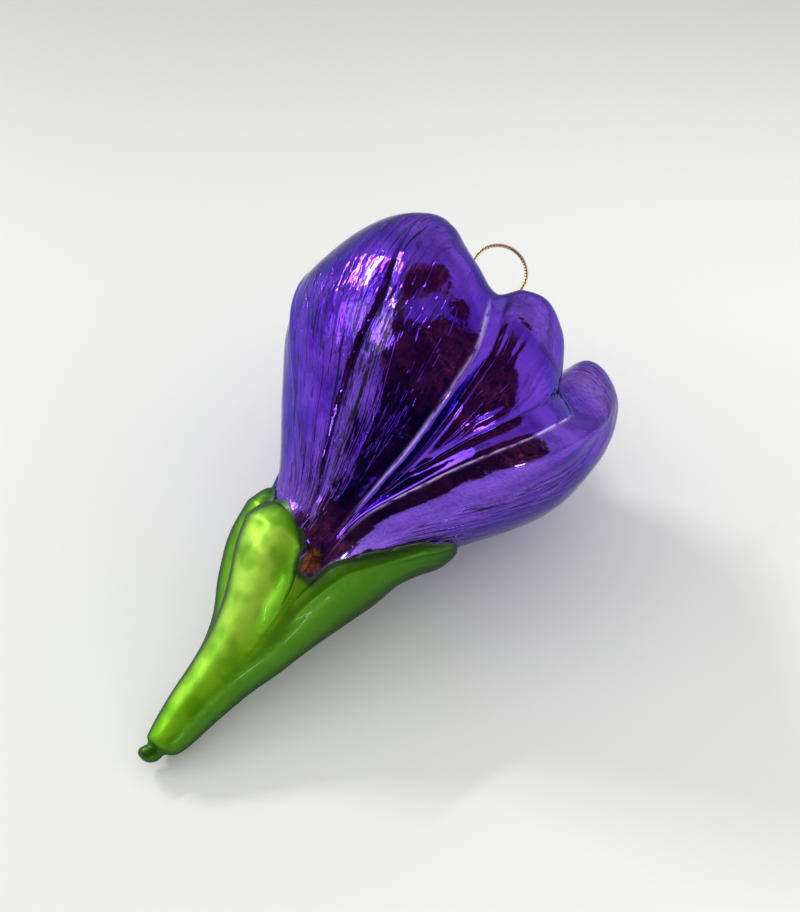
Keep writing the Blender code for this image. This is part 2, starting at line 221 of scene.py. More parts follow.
# The outline, read as a smooth line of even steps. The pip and the neck keep their points.
outline = np.array(MERIDIAN)
chords = np.concatenate([[0.0], np.cumsum(np.hypot(*np.diff(outline, axis=0).T))])
STEP = 0.1
SMOOTHING = 1.3
SMOOTHING_STEPS = 50
walk = np.arange(0.0, chords[-1], STEP)
line = np.stack([curve_at(list(zip(chords, outline[:, axis])), walk) for axis in (0, 1)])
kernel_steps = np.arange(-SMOOTHING_STEPS, SMOOTHING_STEPS + 1)
kernel = np.exp(-0.5 * (kernel_steps * STEP / SMOOTHING) ** 2)
padded = np.pad(line, ((0, 0), (SMOOTHING_STEPS, SMOOTHING_STEPS)), mode="edge")
smoothed = np.stack([np.convolve(row, kernel / kernel.sum(), mode="valid") for row in padded])
kept = smooth_step(4.0, 9.0, walk) * smooth_step(chords[-1] - 5.0, chords[-1] - 9.0, walk)
line = line * (1.0 - kept) + smoothed * kept
lip_walk = walk[np.argmax(line[1])]

ROWS = 246
COLUMNS = 352
SEPAL_TIPS_WALK = 52.0


def row_spacing(at):
    """Finer rows at the pip, the sepal tips and the lip, and coarser ones in the mouth."""
    tips = np.exp(-(((at - SEPAL_TIPS_WALK) / 9.0) ** 2))
    lip = np.exp(-(((at - lip_walk) / 7.0) ** 2))
    pip = smooth_step(9.0, 3.0, at)
    mouth = smooth_step(lip_walk + 12.0, lip_walk + 24.0, at)
    return 0.70 - 0.25 * tips - 0.25 * lip - 0.4 * pip + 0.7 * mouth


rows_at = spaced_along(0.0, walk[-1], row_spacing, ROWS)
radius = np.interp(rows_at, walk, line[0])[None, :]
height = np.interp(rows_at, walk, line[1])[None, :]
beyond_lip = (rows_at > lip_walk)[None, :]
side_height = np.where(beyond_lip, LIP_HEIGHT, height)

PETAL_WIDTHS = [44.0, 13.6, 51.0, 25.0, 31.0, 21.0]
FINE_GAPS = [0.30, 0.28, 0.30, 0.55, 0.55, 0.55]
WIDE_GAP = 0.72
MIDRIB_GAP = 0.34


def column_spacing(at):
    """Finer columns along each petal's sides and round the midrib."""
    petal, part = np.minimum(at.astype(int), 5), at % 1.0
    width = np.array(PETAL_WIDTHS)[petal]
    to_side = np.minimum(part, 1.0 - part) * width
    fine = np.array(FINE_GAPS)[petal]
    gap = fine + (WIDE_GAP - fine) * smooth_step(4.0, 8.0, to_side)
    midrib = (petal == 0) & (part > 0.24) & (part < 0.66)
    return np.where(midrib, MIDRIB_GAP, gap) / width


# Petals counted round the flower, so that 2.3 lies three tenths across the wide petal.
counts = spaced_along(0.0, 6.0, column_spacing, COLUMNS + 1)[:-1, None]
petal = np.minimum(counts.astype(int), 5)
part = counts - petal
sides = [soft_curve_at(side, side_height, 5.0) for side in PETAL_SIDES]
sides = np.concatenate(sides + [sides[0] + 360.0])
left, right = sides[petal[:, 0]], sides[petal[:, 0] + 1]
longitude = left * (1.0 - part) + right * part
width = np.radians(right - left) * radius
from_left, from_right = part * width, (1.0 - part) * width
large, narrow, wide = petal == 0, petal == 1, petal == 2
outer = petal % 2 == 0
rim_scale = 0.55 + 0.45 * smooth_step(48.0, 74.0, height)
outer_sign = np.where(outer, 1.0, -1.0)
past_left, past_right = from_left * outer_sign / rim_scale, from_right * outer_sign / rim_scale

MOUTH_FLOOR = 90.5
LIFT_FROM = 62.0
lift = (curve_at(EDGE_HEIGHTS, counts) - LIP_HEIGHT) * np.where(
    beyond_lip, smooth_step(MOUTH_FLOOR, LIP_HEIGHT, height),
    smooth_step(LIFT_FROM, LIP_HEIGHT, height))
reached = height + lift

# Petals: the outer ones stand over the inner ones, with rolled rims and narrow channels.
grown = smooth_step(40.0, 62.0, height) * smooth_step(lip_walk + 3.0, lip_walk - 7.0, rows_at)
over_left = np.zeros_like(width)
over_right = np.zeros_like(width)
for index in range(6):
    at_left, at_right = petal[:, 0] == index, (petal[:, 0] + 1) % 6 == index
    over_left[at_left] = curve_at(SIDE_SECTIONS[index], past_left[at_left])
    over_right[at_right] = curve_at(SIDE_SECTIONS[index], past_right[at_right])
right_share = smooth_step(0.3, 0.7, part)
across = 2.0 * part - 1.0
swell = np.where(outer, OUTER_SWELL, np.array(INNER_SWELL)[petal]) * (1.0 - across**2)
petal_relief = over_left * (1.0 - right_share) + over_right * right_share + swell

# The large petal has a broad fold with a fine groove along its midrib.
off_rib = turned_apart(longitude, soft_curve_at(MIDRIB, side_height, 6.0))
off_rib_mm = np.radians(off_rib) * radius
fold_reach = np.where(off_rib < 0.0, 0.7, 6.5)
fold = 0.6 * np.exp(-((off_rib / fold_reach) ** 2)) * smooth_step(96.0, 84.0, height)
groove = 0.3 * np.exp(-((off_rib_mm / 0.35) ** 2)) * smooth_step(100.0, 90.0, height)
petal_relief = petal_relief - np.where(large, fold + groove, 0.0)

# The wide petal stands up past its raised left rim, which runs on over its cupped tip.
past_rim = np.where(wide & ~beyond_lip, from_left, 0.0)
shelf_share = smooth_step(0.0, 5.2, past_rim) * smooth_step(15.0, 6.5, past_rim)
shelf = 0.9 * smooth_step(58.0, 74.0, height) * shelf_share
to_tip_rim = np.radians(longitude - curve_at(TIP_RIM, reached)) * radius * 0.75
tip_share = smooth_step(82.0, 89.0, reached) * (wide & (part < 0.6))
tip_rim = 0.35 * np.exp(-((to_tip_rim / 0.55) ** 2)) - 0.9 * smooth_step(0.1, -1.5, to_tip_rim)
petal_relief = petal_relief + shelf + tip_share * tip_rim

# The narrow petal ends in a smooth dome past a seam, with short ribs below the seam.
past_seam = reached - curve_at(SEAM, longitude)
on_narrow = narrow & ~beyond_lip
RIB_PITCH = 3.1
below_seam = smooth_step(-9.0, -3.0, past_seam) * smooth_step(0.0, -1.5, past_seam)
ribs = 0.2 * np.cos(2.0 * np.pi * longitude / RIB_PITCH) * below_seam * smooth_step(
    32.0, 37.0, longitude)
seam_groove = 0.22 * np.exp(-((past_seam / 0.45) ** 2))
petal_relief = petal_relief + np.where(on_narrow, ribs - seam_groove, 0.0)
for at_height, at_longitude, leaf_turn, half_length, half_width in FACETS:
    up, aside = reached - at_height, np.radians(longitude - at_longitude) * radius
    cosine, sine = math.cos(math.radians(leaf_turn)), math.sin(math.radians(leaf_turn))
    along_leaf, off_leaf = up * cosine + aside * sine, aside * cosine - up * sine
    outside_leaf = np.abs(off_leaf) - half_width * (1.0 - (along_leaf / half_length) ** 2)
    facet = smooth_step(0.3, -0.15, outside_leaf) * (np.abs(along_leaf) < 1.3 * half_length)
    petal_relief = petal_relief + np.where(on_narrow, facet * (0.25 - 0.3 * off_leaf), 0.0)

# Sepals: long swellings that end in round tips against the petals.
sepal_relief = np.zeros_like(width)
NO_GREEN = -9.0
sepal_inside = np.full_like(width, NO_GREEN)
thin_green_and_sheen = np.zeros_like(width)
for sepal in SEPALS:
    end = np.sqrt(np.clip((sepal["tip"] - height) / SEPAL_TIP_LENGTH, 1e-6, 1.0))
    half = soft_curve_at(sepal["half"], height, 3.0) * end**0.7
    aside = turned_apart(longitude, soft_curve_at(sepal["middle"], height, 3.0)) / half
    dome = np.clip(1.0 - aside**2, 0.0, 1.0) ** (0.5 + smooth_step(36.0, 24.0, height))
    rim = sepal["rim"] * np.exp(-(((aside + 0.84) / 0.09) ** 2))
    rim = rim * smooth_step(26.0, 34.0, height)
    raised = (soft_curve_at(sepal["swell"], height, 2.0) * dome + rim) * end
    sepal_relief = np.maximum(sepal_relief, raised)
    inside_edge = np.minimum(
        (1.0 - np.abs(aside)) * np.radians(half) * radius, sepal["tip"] - height)
    sepal_inside = np.maximum(sepal_inside, inside_edge)
    # Paler green on the raised middles: thin lacquer and a painted sheen.
    thin_green_and_sheen = np.maximum(thin_green_and_sheen, sepal["thin_and_sheen"] * smooth_step(0.5, 4.5, inside_edge))
pressed_relief = np.zeros_like(width)
for at_height, at_longitude, reach, depth in PRESSED:
    aside = np.radians(turned_apart(longitude, at_longitude)) * radius
    away = np.hypot(reached - at_height, aside)
    pressed = depth * np.exp(-((away / reach) ** 2))
    pressed_relief = pressed_relief + np.where(beyond_lip, 0.0, pressed)

# Hand-cut mould: slow waves over the whole bloom and long ripples along the petals.
# They follow the fan of the petals: the longitudes of the sides where the bloom is widest.
widest = [soft_curve_at(side, 80.0, 5.0) for side in PETAL_SIDES]
fan = np.interp(counts, np.arange(7), widest + [widest[0] + 360.0]) * np.ones_like(height)
waves = lattice_noise(fan / 15.0, rows_at[None, :] / 8.0, 3, columns=24) - 1.0
ripples = lattice_noise(fan / 4.0, rows_at[None, :] / 16.0, 5, columns=90) - 1.0
blisters = lattice_noise(fan / 7.5, rows_at[None, :] / 4.5, 8, columns=48)
petal_relief = petal_relief + 0.17 * waves + 0.07 * ripples + 0.045 * blisters

relief = grown * petal_relief + sepal_relief + pressed_relief
FOOT_BEND = [(-5.0, PIP_LEAN), (-2.5, 2.3), (0, 1.7), (7, 1.3), (13, 0.7), (22, 0)]
shift = np.where(
    beyond_lip, NECK_SHIFT * smooth_step(20.0, NECK_RADIUS, radius), curve_at(FOOT_BEND, height))


def direction(longitude):
    """Unit vector away from the flower's axis, before the ornament is tilted."""
    turn = np.radians(longitude)
    return np.stack([np.zeros_like(turn), -np.sin(turn), np.cos(turn)], axis=-1)


lean = direction(np.array(LEAN_LONGITUDE))
skin = direction(longitude) * (radius + relief)[..., None]
skin[..., 0] += height + lift
skin = skin + lean * shift[..., None]

# The flower's own axis is laid so that the loop's centre falls on the hanger's mount.
lying = Matrix.Rotation(-math.radians(TILT), 3, "Y") @ Matrix.Rotation(math.radians(ROLL), 3, "X")
loop_lean = math.atan2(LOOP_LEAN, LOOP_HEIGHT - CAP_TOP)
loop_reach = math.hypot(LOOP_LEAN, LOOP_HEIGHT - CAP_TOP)
loop_centre = Vector(lean * (NECK_SHIFT + loop_reach * math.sin(loop_lean)))
loop_centre.x = CAP_TOP + loop_reach * math.cos(loop_lean)
loop_mount = next(m for m in frame["record"]["mounts"] if m["name"] == "hanger_loop")
flower_place = Matrix.Translation(
    Vector(loop_mount["pos_m"]) - lying @ loop_centre * MM) @ lying.to_4x4()


def laid_down(points):
    """Points of the flower's own frame, in millimetres, as places on the table."""
    turn = np.array(flower_place)
    return points * MM @ turn[:3, :3].T + turn[:3, 3]


# Inner wall: every twelfth row of the skin, one wall's thickness inside.
INNER_EVERY = 12
INNER_FROM = 6
to_next_column = np.roll(skin, -1, axis=0) - np.roll(skin, 1, axis=0)
to_next_row = np.gradient(skin, axis=1)
normals = np.cross(to_next_column, to_next_row)
normals /= np.linalg.norm(normals, axis=-1, keepdims=True) + 1e-12
STEM_ROW = 60
outwards = np.sign((normals[:, STEM_ROW] * direction(longitude[:, STEM_ROW])).sum())
inner_rows = list(range(ROWS - 1, INNER_FROM, -INNER_EVERY))
inner = skin[:, inner_rows] - normals[:, inner_rows] * outwards * WALL
inner_tip = skin[0, 0] + np.array([WALL, 0.0, 0.0])

points = np.concatenate([
    skin[:1, 0], skin[:, 1:].reshape(-1, 3), inner.reshape(-1, 3), inner_tip[None]])
points = np.clip(laid_down(points), cad_box[0], cad_box[1])
outside = ROWS - 1
inside = len(inner_rows)
first_inner = 1 + COLUMNS * outside
faces = []
for column in range(COLUMNS):
    beside = (column + 1) % COLUMNS
    a, b = 1 + column * outside, 1 + beside * outside
    c, d = first_inner + column * inside, first_inner + beside * inside
    faces += [(0, b, a)]
    faces += [(a + row, b + row, b + row + 1, a + row + 1) for row in range(outside - 1)]
    faces += [(a + outside - 1, b + outside - 1, d, c)]
    faces += [(c + row, d + row, d + row + 1, c + row + 1) for row in range(inside - 1)]
    faces += [(c + inside - 1, d + inside - 1, len(points) - 1)]
if outwards < 0:
    faces = [face[::-1] for face in faces]
glass_mesh = bpy.data.meshes.new("blown_glass_flower")
glass_mesh.from_pydata(points.tolist(), [], faces)
glass_mesh.validate()
glass_mesh.shade_smooth()
glass = bpy.data.objects.new("blown_glass_flower", glass_mesh)
bpy.context.scene.collection.objects.link(glass)

# What the lacquers read: a map of the petals, and where each lacquer lies. The map's seam
# runs up the first column, so the faces of the last column read it one turn further on.
MAP_WIDTH, MAP_LENGTH = 188.0, 180.0
vertex_fan = np.concatenate([[fan[0, 0]], fan[:, 1:].ravel(), fan[:, inner_rows].ravel(), [0.0]])
vertex_walk = np.concatenate([
    [0.0], np.tile(rows_at[1:], COLUMNS), np.tile(rows_at[inner_rows], COLUMNS), [0.0]])
loop_vertex = np.zeros(len(glass_mesh.loops), int)
glass_mesh.loops.foreach_get("vertex_index", loop_vertex)
flower_map = np.stack(
    [vertex_fan[loop_vertex] / 360.0, vertex_walk[loop_vertex] / MAP_LENGTH], -1)
face_of_loop = np.repeat(np.arange(len(glass_mesh.polygons)), [
    p.loop_total for p in glass_mesh.polygons])
in_last_column = face_of_loop // (len(faces) // COLUMNS) == COLUMNS - 1
on_first_column = (loop_vertex < 1 + outside) | (
    (loop_vertex >= first_inner) & (loop_vertex < first_inner + inside))
flower_map[in_last_column & on_first_column, 0] += 1.0
map_layer = glass_mesh.uv_layers.new(name="petal_map")
map_layer.data.foreach_set("uv", flower_map.astype(np.float32).ravel())


def add_share(name, grid):
    """Store one value a vertex under a name that the lacquer reads."""
    values = np.concatenate(
        [[grid[0, 0]], grid[:, 1:].ravel(), grid[:, inner_rows].ravel(), [0.0]])
    layer = glass_mesh.attributes.new(name, "FLOAT", "POINT")
    layer.data.foreach_set("value", values.astype(np.float32))


# How strongly each part of the mould is veined: little on the smooth outer faces, and not
# at all close to the petals' sides.
veined = np.select(
    [large, narrow, wide],
    [1.0 - 0.68 * smooth_step(5.0, 10.0, off_rib), 0.22,
     0.08 + 0.92 * smooth_step(0.17, 0.25, part)], 0.9)
calm = np.select(
    [large, narrow, wide],
    [smooth_step(2.0, 5.0, from_right),
     smooth_step(3.0, 4.5, from_left) * smooth_step(2.8, 4.0, from_right),
     smooth_step(5.0, 9.0, from_left)], 1.0)
add_share("veined", veined * calm * smooth_step(42.0, 54.0, height))

# Green lacquer: millimetres inside its edge; where it is paler on the raised middles, as thin
# lacquer and a painted sheen; and its sides, darkened as painted shade.
GREEN_ALL_ROUND = 36.5
round_stem = turned_apart(longitude, 0.0)
green = np.where(beyond_lip, NO_GREEN, np.maximum(sepal_inside, GREEN_ALL_ROUND - height))
# Painted sheen and thin lacquer: the paler green reaches down the stem.
thin_and_sheen_up_stem = 0.5 * smooth_step(2.0, 10.0, height) + 0.5 * smooth_step(16.0, 28.0, height)
# Painted shade: the green is darker on the sides of the stem and sepals.
green_side_shade = np.maximum(
    smooth_step(12.0, 52.0, round_stem), smooth_step(45.0, 95.0, -round_stem))
add_share("green_lacquer", np.clip(green, NO_GREEN, -NO_GREEN))
add_share("thin_green_and_sheen", thin_green_and_sheen * thin_and_sheen_up_stem)
add_share("green_side_shade", green_side_shade * np.ones_like(width))

# Violet: paler beside the midrib, on the tips, on the narrow petal's dome, over the wide petal
# and low down on the petals. Beside the midrib, on the tips, on the dome and over the wide
# petal this paleness is a painted reflection of the bright room; low down it is simply paler.
# Painted reflection: a pale band beside the midrib.
sheen_beside_rib = 0.5 * np.exp(-(((off_rib_mm - 2.6) / 1.9) ** 2)) * smooth_step(88.0, 80.0, height)
large_top = 0.45 * smooth_step(90.0, 101.0, reached)
wide_tip = smooth_step(88.0, 99.0, height) * smooth_step(0.06, 0.2, part) * smooth_step(
    0.7, 0.4, part)
pale_violet_and_sheen = np.select(
    [large, narrow, wide],
    [np.maximum(sheen_beside_rib, large_top), 0.45 * on_narrow * (past_seam > 0.0),
     np.maximum(wide_tip, 0.42)], 0.0)
foot_share = np.where((large & (off_rib > 1.0)) | narrow, 0.1, 0.8)
# Painted highlight: a pale patch at the petals' base beside the first sepal's tip.
painted_base_highlight = np.exp(-((turned_apart(longitude, 5.0) / 9.0) ** 2) - ((height - 46.0) / 5.0) ** 2)
pale_violet_and_sheen = np.maximum(pale_violet_and_sheen, foot_share * smooth_step(60.0, 45.0, height))
add_share("pale_violet_and_sheen", np.maximum(pale_violet_and_sheen, painted_base_highlight))
crotch = np.exp(-((turned_apart(longitude, 22.0) / 13.0) ** 2) - ((height - 39.5) / 3.4) ** 2)
add_share("bare_silver", crotch * np.ones_like(width))

# It is rubbed pale on the raised rims, where the pale, less metallic lacquer is also a painted
# highlight, and it is darkened in the grooves as painted shade.
# Painted highlight along the large petal's rim and the wide petal's ridge, on rubbed lacquer.
large_rim = np.exp(-(((from_right - 0.35 * rim_scale) / 0.32) ** 2))
wide_rim = 1.7 * np.exp(-(((from_left - 0.1) / 0.34) ** 2))
rubbed_and_highlit = np.where(large, large_rim, np.where(wide, wide_rim, 0.0)) * grown
rubbed_and_highlit = np.where(beyond_lip, 0.0, rubbed_and_highlit * smooth_step(102.0, 96.0, height))
add_share("rubbed_crests_and_highlights", rubbed_and_highlit)
# Painted shade: darker violet along the midrib groove, the channels and the seam.
along_rib = np.exp(-((off_rib_mm / 0.3) ** 2)) * smooth_step(100.0, 92.0, height)
along_seam = np.where(on_narrow, 0.9 * np.exp(-((past_seam / 0.6) ** 2)), 0.0)
left_channel = np.exp(-(((past_left + 2.3) / 0.22) ** 2))
right_channel = np.maximum(along_seam, np.exp(-(((past_right + 2.5) / 0.25) ** 2)))
painted_groove_shade = np.select(
    [large, narrow & (part < 0.5), narrow], [along_rib, left_channel, right_channel], 0.0)
add_share("groove_shade", painted_groove_shade * smooth_step(44.0, 56.0, height) * ~beyond_lip)


NODES_IN_A_ROW = 8


def new_node(tree, kind, **settings):
    """Place one node in the next free place, with its settings and its sockets' values."""
    row, column = divmod(len(tree.nodes), NODES_IN_A_ROW)
    node = tree.nodes.new(kind)
    node.location = (column * 220.0, row * -320.0)
    for name, value in settings.items():
        if name in node.inputs:
            node.inputs[name].default_value = value
        else:
            setattr(node, name, value)
    return node


def new_material(name):
    """A material with its node tree and its shader."""
    material = bpy.data.materials.new(name)
    material.use_nodes = True
    return material, material.node_tree, material.node_tree.nodes["Principled BSDF"]


def new_group(name, inputs, outputs):
    """A node group with named sockets, and its two end nodes."""
    group = bpy.data.node_groups.new(name, "ShaderNodeTree")
    for in_out, sockets in (("INPUT", inputs), ("OUTPUT", outputs)):
        for socket, kind in sockets.items():
            group.interface.new_socket(socket, in_out=in_out, socket_type="NodeSocket" + kind)
    return group, new_node(group, "NodeGroupInput"), new_node(group, "NodeGroupOutput")


def math_node(tree, operation, first, second, third=0.0):
    """One sum, whose terms are sockets or plain numbers."""
    node = new_node(tree, "ShaderNodeMath", operation=operation)
    for index, term in enumerate((first, second, third)):
        if isinstance(term, bpy.types.NodeSocket):
            tree.links.new(term, node.inputs[index])
        else:
            node.inputs[index].default_value = term
    return node.outputs[0]


def soft_mask(tree, value, low, high):
    """0 at low and 1 at high, with a soft step between them; low may be the larger."""
    node = new_node(tree, "ShaderNodeMapRange", interpolation_type="SMOOTHSTEP")
    node.inputs["From Min"].default_value = low
    node.inputs["From Max"].default_value = high
    tree.links.new(value, node.inputs["Value"])
    return node.outputs["Result"]


def mixed(tree, factor, first, second):
    """Mix two colours, each a socket or a plain colour."""
    node = new_node(tree, "ShaderNodeMix", data_type="RGBA")
    tree.links.new(factor, node.inputs["Factor"])
    for name, colour in (("A", first), ("B", second)):
        socket = next(i for i in node.inputs if i.name == name and i.type == "RGBA")
        if isinstance(colour, bpy.types.NodeSocket):
            tree.links.new(colour, socket)
        else:
            socket.default_value = (*colour, 1.0)
    return next(o for o in node.outputs if o.type == "RGBA")


def noise_at(tree, vector, **settings):
    """Noise read at a vector."""
    noise = new_node(tree, "ShaderNodeTexNoise", **settings)
    tree.links.new(vector, noise.inputs["Vector"])
    return noise.outputs["Fac"]


def stretched_noise(tree, vector, scale, detail):
    """Noise drawn out along the petals; scale is per millimetre across and along."""
    stretch = new_node(tree, "ShaderNodeVectorMath", operation="MULTIPLY")
    stretch.inputs[1].default_value = (*scale, 1.0)
    tree.links.new(vector, stretch.inputs[0])
    return noise_at(tree, stretch.outputs[0], Scale=1.0, Detail=detail)


def share(tree, name):
    """One of the values stored on the glass."""
    return new_node(tree, "ShaderNodeAttribute", attribute_name=name).outputs["Fac"]


# The veins of the cut mould: raised streaks, lumps and hairs, and fine cut lines in them. The
# lines also darken the violet's colour, as painted shade.
veins, into, out_of = new_group(
    "mould_veins", {"Vector": "Vector", "Strength": "Float"}, {"Height": "Float", "Lines": "Float"})
vector = into.outputs["Vector"]
streaks = stretched_noise(veins, vector, (0.55, 0.06), 2.0)
lumps = stretched_noise(veins, vector, (0.42, 0.17), 3.0)
hairs = stretched_noise(veins, vector, (1.5, 0.12), 2.0)
course = stretched_noise(veins, vector, (0.22, 0.022), 1.0)
breaks = stretched_noise(veins, vector, (0.16, 0.09), 1.0)
nicks = stretched_noise(veins, vector, (1.25, 0.21), 1.0)
scores = stretched_noise(veins, vector, (0.80, 0.075), 1.0)
off_line = math_node(veins, "ABSOLUTE", math_node(veins, "SUBTRACT", course, 0.5), 0.0)
cut = math_node(veins, "SUBTRACT", 1.0, soft_mask(veins, off_line, 0.0, 0.018))
cut = math_node(veins, "MULTIPLY", cut, soft_mask(veins, breaks, 0.46, 0.54))
nick = math_node(
    veins, "MULTIPLY", soft_mask(veins, nicks, 0.58, 0.66), soft_mask(veins, breaks, 0.56, 0.48))
score = math_node(
    veins, "MULTIPLY", soft_mask(veins, scores, 0.61, 0.66), soft_mask(veins, streaks, 0.44, 0.52))
lines = math_node(veins, "MAXIMUM", cut, math_node(veins, "MULTIPLY", nick, 0.8))
lines = math_node(veins, "MAXIMUM", lines, score)
vein_height = math_node(veins, "MULTIPLY", streaks, 0.32)
for layer, depth in ((hairs, 0.11), (lumps, 0.42), (lines, -0.18)):
    vein_height = math_node(veins, "MULTIPLY_ADD", layer, depth, vein_height)
for socket, value in (("Lines", lines), ("Height", vein_height)):
    veins.links.new(
        math_node(veins, "MULTIPLY", value, into.outputs["Strength"]), out_of.inputs[socket])

VIOLET, BRIGHT_VIOLET = (0.085, 0.012, 0.53), (0.17, 0.042, 0.72)
# Pale violet: mostly a painted reflection and a painted highlight.
PALE_VIOLET_AND_SHEEN = (0.36, 0.20, 0.66)
# Rubbed rims: worn lacquer, and a painted highlight.
RUBBED_VIOLET_AND_HIGHLIGHT = (0.66, 0.52, 0.95)
# Painted shade in the grooves and the vein cuts.
GROOVE_SHADE_VIOLET = (0.018, 0.002, 0.13)
TARNISHED_SILVER = (0.55, 0.38, 0.20)
GREEN, BRIGHT_GREEN = (0.13, 0.42, 0.004), (0.23, 0.58, 0.010)
# Thin green lacquer, and a painted sheen.
THIN_GREEN_AND_SHEEN = (0.52, 0.90, 0.09)
# Painted shade on the green's sides.
SHADED_GREEN = (0.05, 0.17, 0.004)
EDGE_ON_GREEN = (0.022, 0.085, 0.003)
SLATE_GREEN = (0.05, 0.105, 0.03)
PIP_GREEN = (0.03, 0.115, 0.002)
VIOLET_ROUGHNESS, GREEN_ROUGHNESS = 0.09, 0.40
VIOLET_COAT, GREEN_COAT = 0.45, 0.08

glass_lacquer, tree, shader = new_material("lacquer_over_silvered_glass")
link = tree.links.new
shader.inputs["Coat Roughness"].default_value = 0.06
shader.inputs["Coat IOR"].default_value = 1.5
shader.inputs["Specular Tint"].default_value = (0.20, 0.17, 0.42, 1.0)
map_node = new_node(tree, "ShaderNodeUVMap", uv_map="petal_map")
scaled_map = new_node(tree, "ShaderNodeVectorMath", operation="MULTIPLY")
scaled_map.inputs[1].default_value = (MAP_WIDTH, MAP_LENGTH, 1.0)
link(map_node.outputs["UV"], scaled_map.inputs[0])
in_mm = scaled_map.outputs[0]
map_parts = new_node(tree, "ShaderNodeSeparateXYZ")
link(in_mm, map_parts.inputs[0])
on_glass = new_node(tree, "ShaderNodeTexCoord").outputs["Object"]

# Where the green lies over the violet: its brushed edge wanders a little.
wander = noise_at(tree, in_mm, Scale=0.9, Detail=3.0)
inside_green = math_node(tree, "MULTIPLY_ADD", wander, 0.9, share(tree, "green_lacquer"))
green_part = soft_mask(tree, inside_green, -0.55, 0.05)
violet_part = math_node(tree, "SUBTRACT", 1.0, green_part)

# Skin: veins in the violet, and a faint orange peel with tiny dents all over.
vein_group = new_node(tree, "ShaderNodeGroup", node_tree=veins)
link(in_mm, vein_group.inputs["Vector"])
link(share(tree, "veined"), vein_group.inputs["Strength"])
orange_peel = noise_at(tree, on_glass, Scale=420.0, Detail=2.0)
dents = noise_at(tree, on_glass, Scale=1300.0, Detail=2.0)
skin_height = math_node(
    tree, "MULTIPLY_ADD", dents, 0.012, math_node(tree, "MULTIPLY", orange_peel, 0.10))
skin_height = math_node(
    tree, "MULTIPLY_ADD", vein_group.outputs["Height"], violet_part, skin_height)
bump = new_node(tree, "ShaderNodeBump", Distance=MM)
link(skin_height, bump.inputs["Height"])
link(bump.outputs["Normal"], shader.inputs["Normal"])

# Violet: cloudy; paler and speckled in places, largely as a painted reflection and a painted
# highlight; rubbed pale on the rims, partly as a painted highlight; darkened in the grooves and
# the vein cuts as painted shade; and worn off between the sepals.
tint = noise_at(tree, in_mm, Scale=0.12, Detail=3.0)
violet = mixed(tree, soft_mask(tree, tint, 0.35, 0.65), VIOLET, BRIGHT_VIOLET)
specks = noise_at(tree, in_mm, Scale=1.6, Detail=3.0)
# Pale speckled violet: mostly painted reflection and painted highlight.
speckled = math_node(
    tree, "MULTIPLY", share(tree, "pale_violet_and_sheen"), soft_mask(tree, specks, 0.20, 0.70))
violet = mixed(tree, math_node(tree, "MULTIPLY", speckled, 0.8), violet, PALE_VIOLET_AND_SHEEN)
# The rubbed crests: paler, less metallic lacquer, as wear and as a painted highlight.
ragged = stretched_noise(tree, in_mm, (0.9, 0.35), 3.0)
rubbed_and_highlit_crest = math_node(
    tree, "MULTIPLY", share(tree, "rubbed_crests_and_highlights"), soft_mask(tree, ragged, 0.26, 0.54))
violet = mixed(tree, math_node(tree, "MULTIPLY", rubbed_and_highlit_crest, 0.8), violet, RUBBED_VIOLET_AND_HIGHLIGHT)
# Painted shade: the vein cuts and the grooves are darkened.
dark_lines = math_node(tree, "MAXIMUM", vein_group.outputs["Lines"], math_node(
    tree, "MULTIPLY", share(tree, "groove_shade"), 0.85))
violet = mixed(tree, dark_lines, violet, GROOVE_SHADE_VIOLET)
bare = math_node(tree, "MULTIPLY_ADD", specks, 0.5, share(tree, "bare_silver"))
violet = mixed(tree, soft_mask(tree, bare, 0.72, 0.98), violet, TARNISHED_SILVER)

# Green: cloudy; bright on the raised middles, as thin lacquer and a painted sheen; darker at the
# sides as painted shade; slate grey along its edge over the violet; and dark on the pip.
green_tint = noise_at(tree, on_glass, Scale=210.0, Detail=1.5)
green_colour = mixed(tree, soft_mask(tree, green_tint, 0.36, 0.64), GREEN, BRIGHT_GREEN)
# Paler green: thin lacquer and a painted sheen.
clouded = math_node(
    tree, "MULTIPLY", share(tree, "thin_green_and_sheen"), soft_mask(tree, green_tint, 0.15, 0.70))
green_colour = mixed(tree, clouded, green_colour, THIN_GREEN_AND_SHEEN)
# Painted shade: darker green on the sides.
green_shade_share = math_node(tree, "MULTIPLY", share(tree, "green_side_shade"), 0.92)
green_colour = mixed(tree, green_shade_share, green_colour, SHADED_GREEN)
edge_on = new_node(tree, "ShaderNodeLayerWeight", Blend=0.5)
for mask, shade in (
        (soft_mask(tree, edge_on.outputs["Facing"], 0.30, 0.80), EDGE_ON_GREEN),
        (soft_mask(tree, inside_green, 1.7, 0.5), SLATE_GREEN),
        (soft_mask(tree, map_parts.outputs["Y"], 6.2, 4.4), PIP_GREEN)):
    green_colour = mixed(tree, mask, green_colour, shade)
link(mixed(tree, green_part, violet, green_colour), shader.inputs["Base Color"])

# The silver shows through as metal, less under the green and on the rubbed rims, where the
# lower metal share also makes the painted highlight.
metal_share = math_node(tree, "MULTIPLY_ADD", green_part, -0.36, 1.0)
metal_share = math_node(tree, "MULTIPLY_ADD", rubbed_and_highlit_crest, -0.45, metal_share)
link(metal_share, shader.inputs["Metallic"])
for socket, on_violet, on_green in (
        ("Roughness", VIOLET_ROUGHNESS, GREEN_ROUGHNESS),
        ("Coat Weight", VIOLET_COAT, GREEN_COAT)):
    span = new_node(tree, "ShaderNodeMapRange")
    span.inputs["To Min"].default_value = on_violet
    span.inputs["To Max"].default_value = on_green
    link(green_part, span.inputs["Value"])
    link(span.outputs["Result"], shader.inputs[socket])
glass_mesh.materials.append(glass_lacquer)
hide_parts("glass_flower")
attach(glass, "root")

